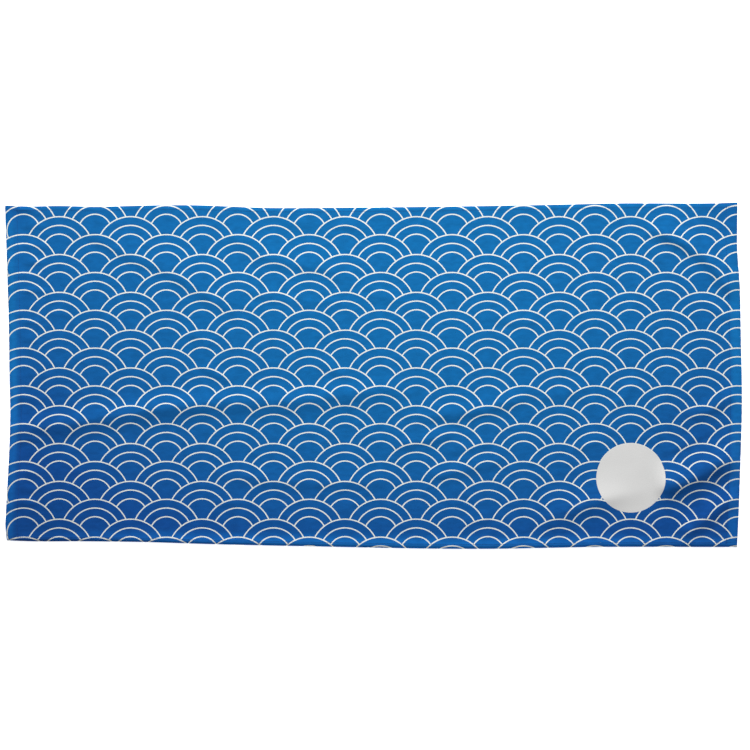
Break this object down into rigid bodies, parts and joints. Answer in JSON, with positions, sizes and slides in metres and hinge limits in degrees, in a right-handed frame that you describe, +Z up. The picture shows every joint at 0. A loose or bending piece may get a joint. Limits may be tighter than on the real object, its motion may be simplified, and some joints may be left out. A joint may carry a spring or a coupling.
{
  "type": "beach towel",
  "caption": "Flat rectangular beach towel of velour towelling with turned hems and soft creases, lying face up.",
  "frame": {"origin": "on the surface that the towel lies on, under the middle of the towel's outline box", "axes": "+X along the long side, +Y across the towel, +Z up out of the printed face"},
  "size_m": [1.5106, 0.7102, 0.0134],
  "materials": {
    "towelling": "printed cotton velour, matt, blue with a white line print of overlapping waves"
  },
  "bodies": {
    "root": {"towel": "towelling"}
  },
  "joints": []
}
